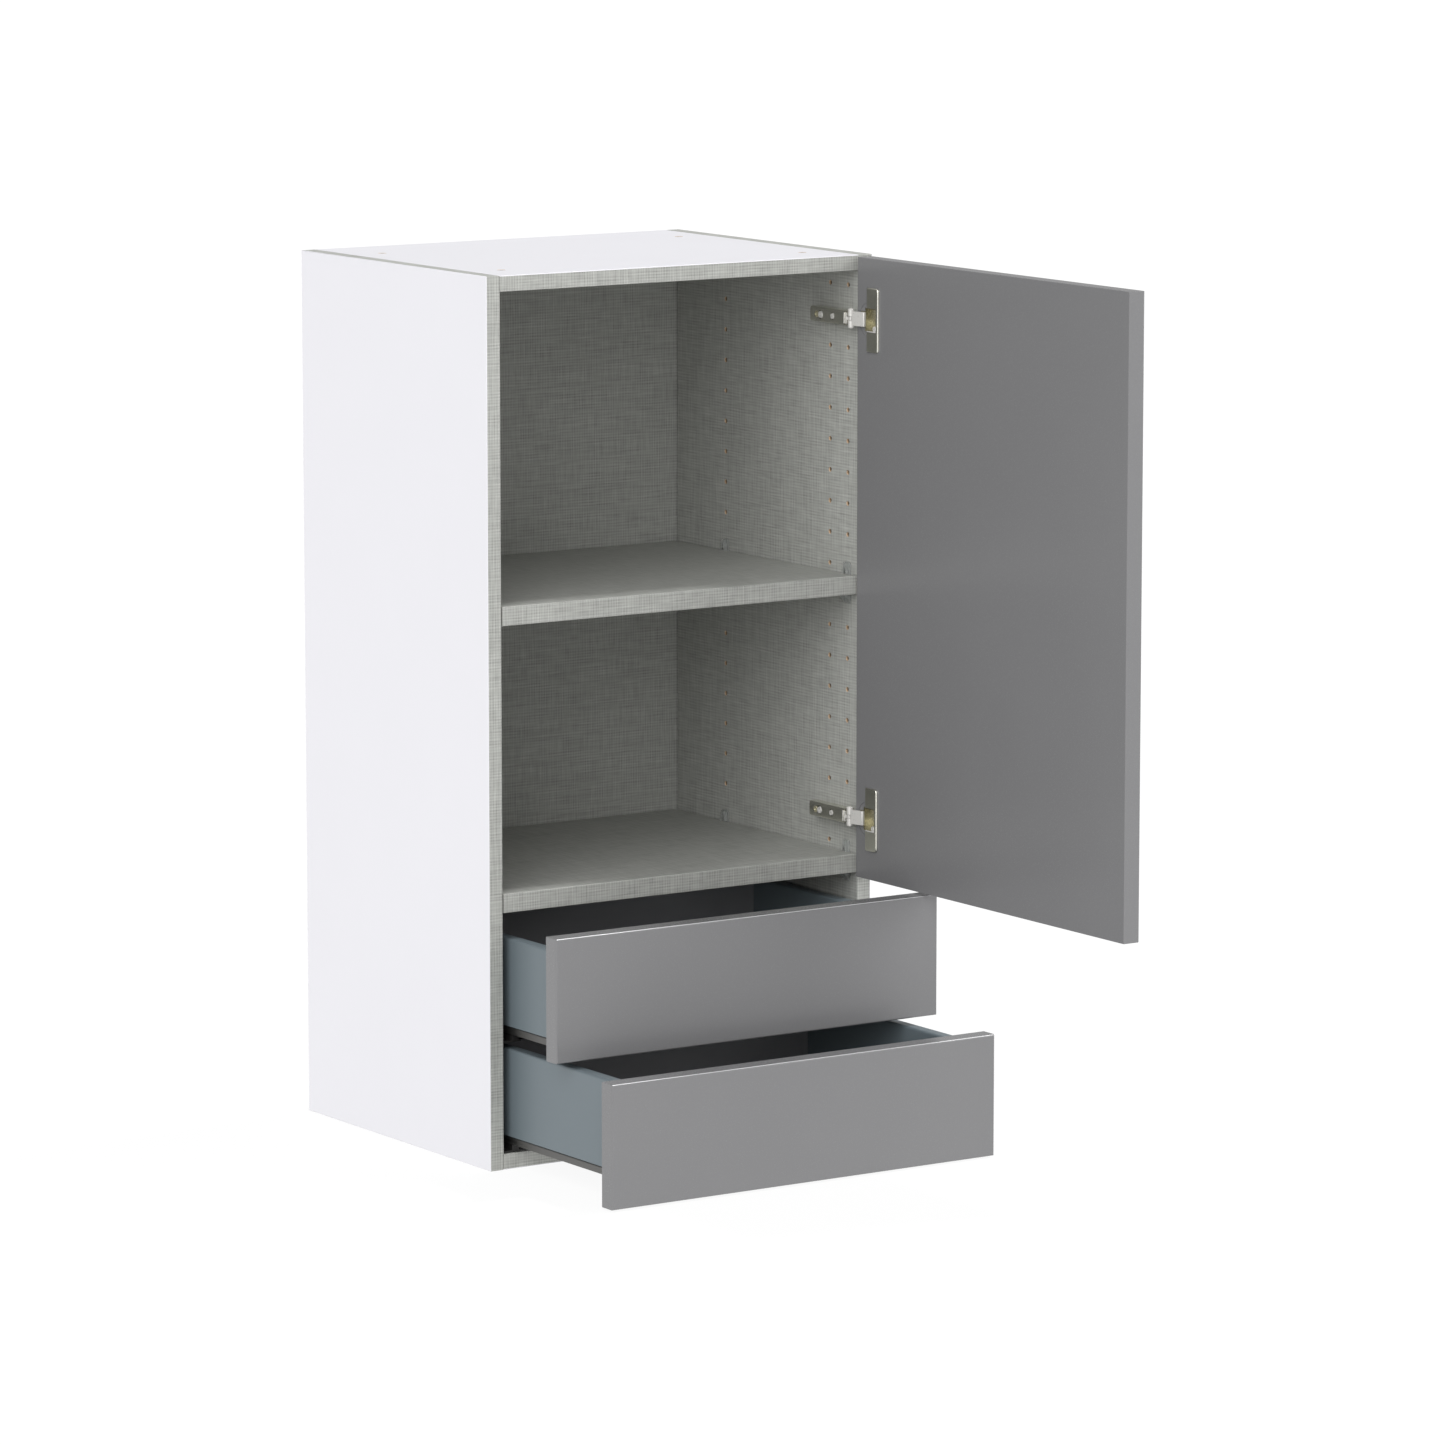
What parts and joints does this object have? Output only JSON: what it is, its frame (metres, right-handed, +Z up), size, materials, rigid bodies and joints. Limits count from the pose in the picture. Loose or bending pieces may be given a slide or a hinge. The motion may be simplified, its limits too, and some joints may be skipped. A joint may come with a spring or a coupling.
{
  "type": "pantry cabinet",
  "caption": "Frameless pantry cabinet: a tall board carcass with pin-hole sides, an adjustable shelf, a hinged slab door above and handleless steel-sided drawers below.",
  "frame": {"origin": "centre of the carcass underside, the face that it stands on; the door and drawers are not counted in that centre", "axes": "+Z up along the height; +Y towards the wall, so the door and drawers open towards -Y; +X to the right seen from the front, the side that the door hangs on"},
  "size_m": [0.4572, 0.8159, 0.889],
  "materials": {
    "carcass_board": "white laminate outside, linen-weave grey laminate inside and on the front edges",
    "linen_board": "linen-weave grey laminate, matte",
    "grey_front": "semi-gloss grey laminate with softened edges",
    "drawer_steel": "blue-grey powder coat, fine satin",
    "charcoal_board": "charcoal laminate, satin",
    "runner_steel": "zinc-plated rolled steel",
    "hinge_nickel": "nickel plate",
    "clear_plastic": "clear moulded plastic",
    "connector_zinc": "zinc die casting"
  },
  "bodies": {
    "carcass": {"side_left": "carcass_board", "side_right": "carcass_board", "bottom_panel": "carcass_board", "top_panel": "carcass_board", "cam_connector_bottom_front_left": "connector_zinc", "cam_connector_bottom_rear_left": "connector_zinc", "cam_connector_bottom_front_right": "connector_zinc", "cam_connector_bottom_rear_right": "connector_zinc", "cam_connector_top_front_left": "connector_zinc", "cam_connector_top_rear_left": "connector_zinc", "cam_connector_top_front_right": "connector_zinc", "cam_connector_top_rear_right": "connector_zinc", "back_panel": "linen_board", "hanging_rail_bottom": "carcass_board", "hanging_rail_top": "carcass_board", "divider_shelf": "linen_board", "adjustable_shelf": "linen_board", "divider_shelf_clip_front_left": "clear_plastic", "divider_shelf_clip_rear_left": "clear_plastic", "divider_shelf_clip_front_right": "clear_plastic", "divider_shelf_clip_rear_right": "clear_plastic", "adjustable_shelf_clip_front_left": "clear_plastic", "adjustable_shelf_clip_rear_left": "clear_plastic", "adjustable_shelf_clip_front_right": "clear_plastic", "adjustable_shelf_clip_rear_right": "clear_plastic", "hinge_plate_lower": "hinge_nickel", "hinge_plate_upper": "hinge_nickel", "hinge_arm_lower": "hinge_nickel", "hinge_arm_upper": "hinge_nickel", "hinge_screw_lower_front": "hinge_nickel", "hinge_screw_lower_rear": "hinge_nickel", "hinge_screw_upper_front": "hinge_nickel", "hinge_screw_upper_rear": "hinge_nickel", "lower_cabinet_runner_left": "runner_steel", "lower_cabinet_runner_right": "runner_steel", "upper_cabinet_runner_left": "runner_steel", "upper_cabinet_runner_right": "runner_steel"},
    "door": {"door_panel": "grey_front", "hinge_cup_lower": "hinge_nickel", "hinge_cup_upper": "hinge_nickel"},
    "hinge_link_lower": {"hinge_link_lower": "hinge_nickel"},
    "hinge_link_upper": {"hinge_link_upper": "hinge_nickel"},
    "lower_drawer": {"lower_drawer_front": "grey_front", "lower_drawer_bottom": "charcoal_board", "lower_drawer_back": "charcoal_board", "lower_drawer_side_left": "drawer_steel", "lower_drawer_side_right": "drawer_steel", "lower_drawer_runner_left": "runner_steel", "lower_drawer_runner_right": "runner_steel"},
    "lower_middle_runner_left": {"lower_middle_runner_left": "runner_steel"},
    "lower_middle_runner_right": {"lower_middle_runner_right": "runner_steel"},
    "upper_drawer": {"upper_drawer_front": "grey_front", "upper_drawer_bottom": "charcoal_board", "upper_drawer_back": "charcoal_board", "upper_drawer_side_left": "drawer_steel", "upper_drawer_side_right": "drawer_steel", "upper_drawer_runner_left": "runner_steel", "upper_drawer_runner_right": "runner_steel"},
    "upper_middle_runner_left": {"upper_middle_runner_left": "runner_steel"},
    "upper_middle_runner_right": {"upper_middle_runner_right": "runner_steel"}
  },
  "joints": [
    {"name": "door_swing", "type": "hinge", "parent": "carcass", "child": "door", "pos_m": [0.21891, -0.1922, 0.5715], "axis": [0, 0, 1], "range_deg": [-90, 20]},
    {"name": "hinge_link_lower_turn", "type": "hinge", "parent": "carcass", "child": "hinge_link_lower", "pos_m": [0.20142, -0.1798, 0.3175], "axis": [0, 0, 1], "range_deg": [-10, 45]},
    {"name": "hinge_link_upper_turn", "type": "hinge", "parent": "carcass", "child": "hinge_link_upper", "pos_m": [0.20142, -0.1798, 0.8255], "axis": [0, 0, 1], "range_deg": [-10, 45]},
    {"name": "lower_drawer_slide", "type": "slide", "parent": "carcass", "child": "lower_drawer", "axis": [0, -1, 0], "range_m": [-0.2, 0.07]},
    {"name": "lower_middle_runner_left_slide", "type": "slide", "parent": "carcass", "child": "lower_middle_runner_left", "axis": [0, -1, 0], "range_m": [-0.1, 0.035]},
    {"name": "lower_middle_runner_right_slide", "type": "slide", "parent": "carcass", "child": "lower_middle_runner_right", "axis": [0, -1, 0], "range_m": [-0.1, 0.035]},
    {"name": "upper_drawer_slide", "type": "slide", "parent": "carcass", "child": "upper_drawer", "axis": [0, -1, 0], "range_m": [-0.1, 0.17]},
    {"name": "upper_middle_runner_left_slide", "type": "slide", "parent": "carcass", "child": "upper_middle_runner_left", "axis": [0, -1, 0], "range_m": [-0.05, 0.085]},
    {"name": "upper_middle_runner_right_slide", "type": "slide", "parent": "carcass", "child": "upper_middle_runner_right", "axis": [0, -1, 0], "range_m": [-0.05, 0.085]}
  ],
  "couplings": [
    {"joint": "hinge_link_lower_turn", "follows": "door_swing", "ratio": -0.5},
    {"joint": "hinge_link_upper_turn", "follows": "door_swing", "ratio": -0.5},
    {"joint": "lower_middle_runner_left_slide", "follows": "lower_drawer_slide", "ratio": 0.5},
    {"joint": "lower_middle_runner_right_slide", "follows": "lower_drawer_slide", "ratio": 0.5},
    {"joint": "upper_middle_runner_left_slide", "follows": "upper_drawer_slide", "ratio": 0.5},
    {"joint": "upper_middle_runner_right_slide", "follows": "upper_drawer_slide", "ratio": 0.5}
  ]
}
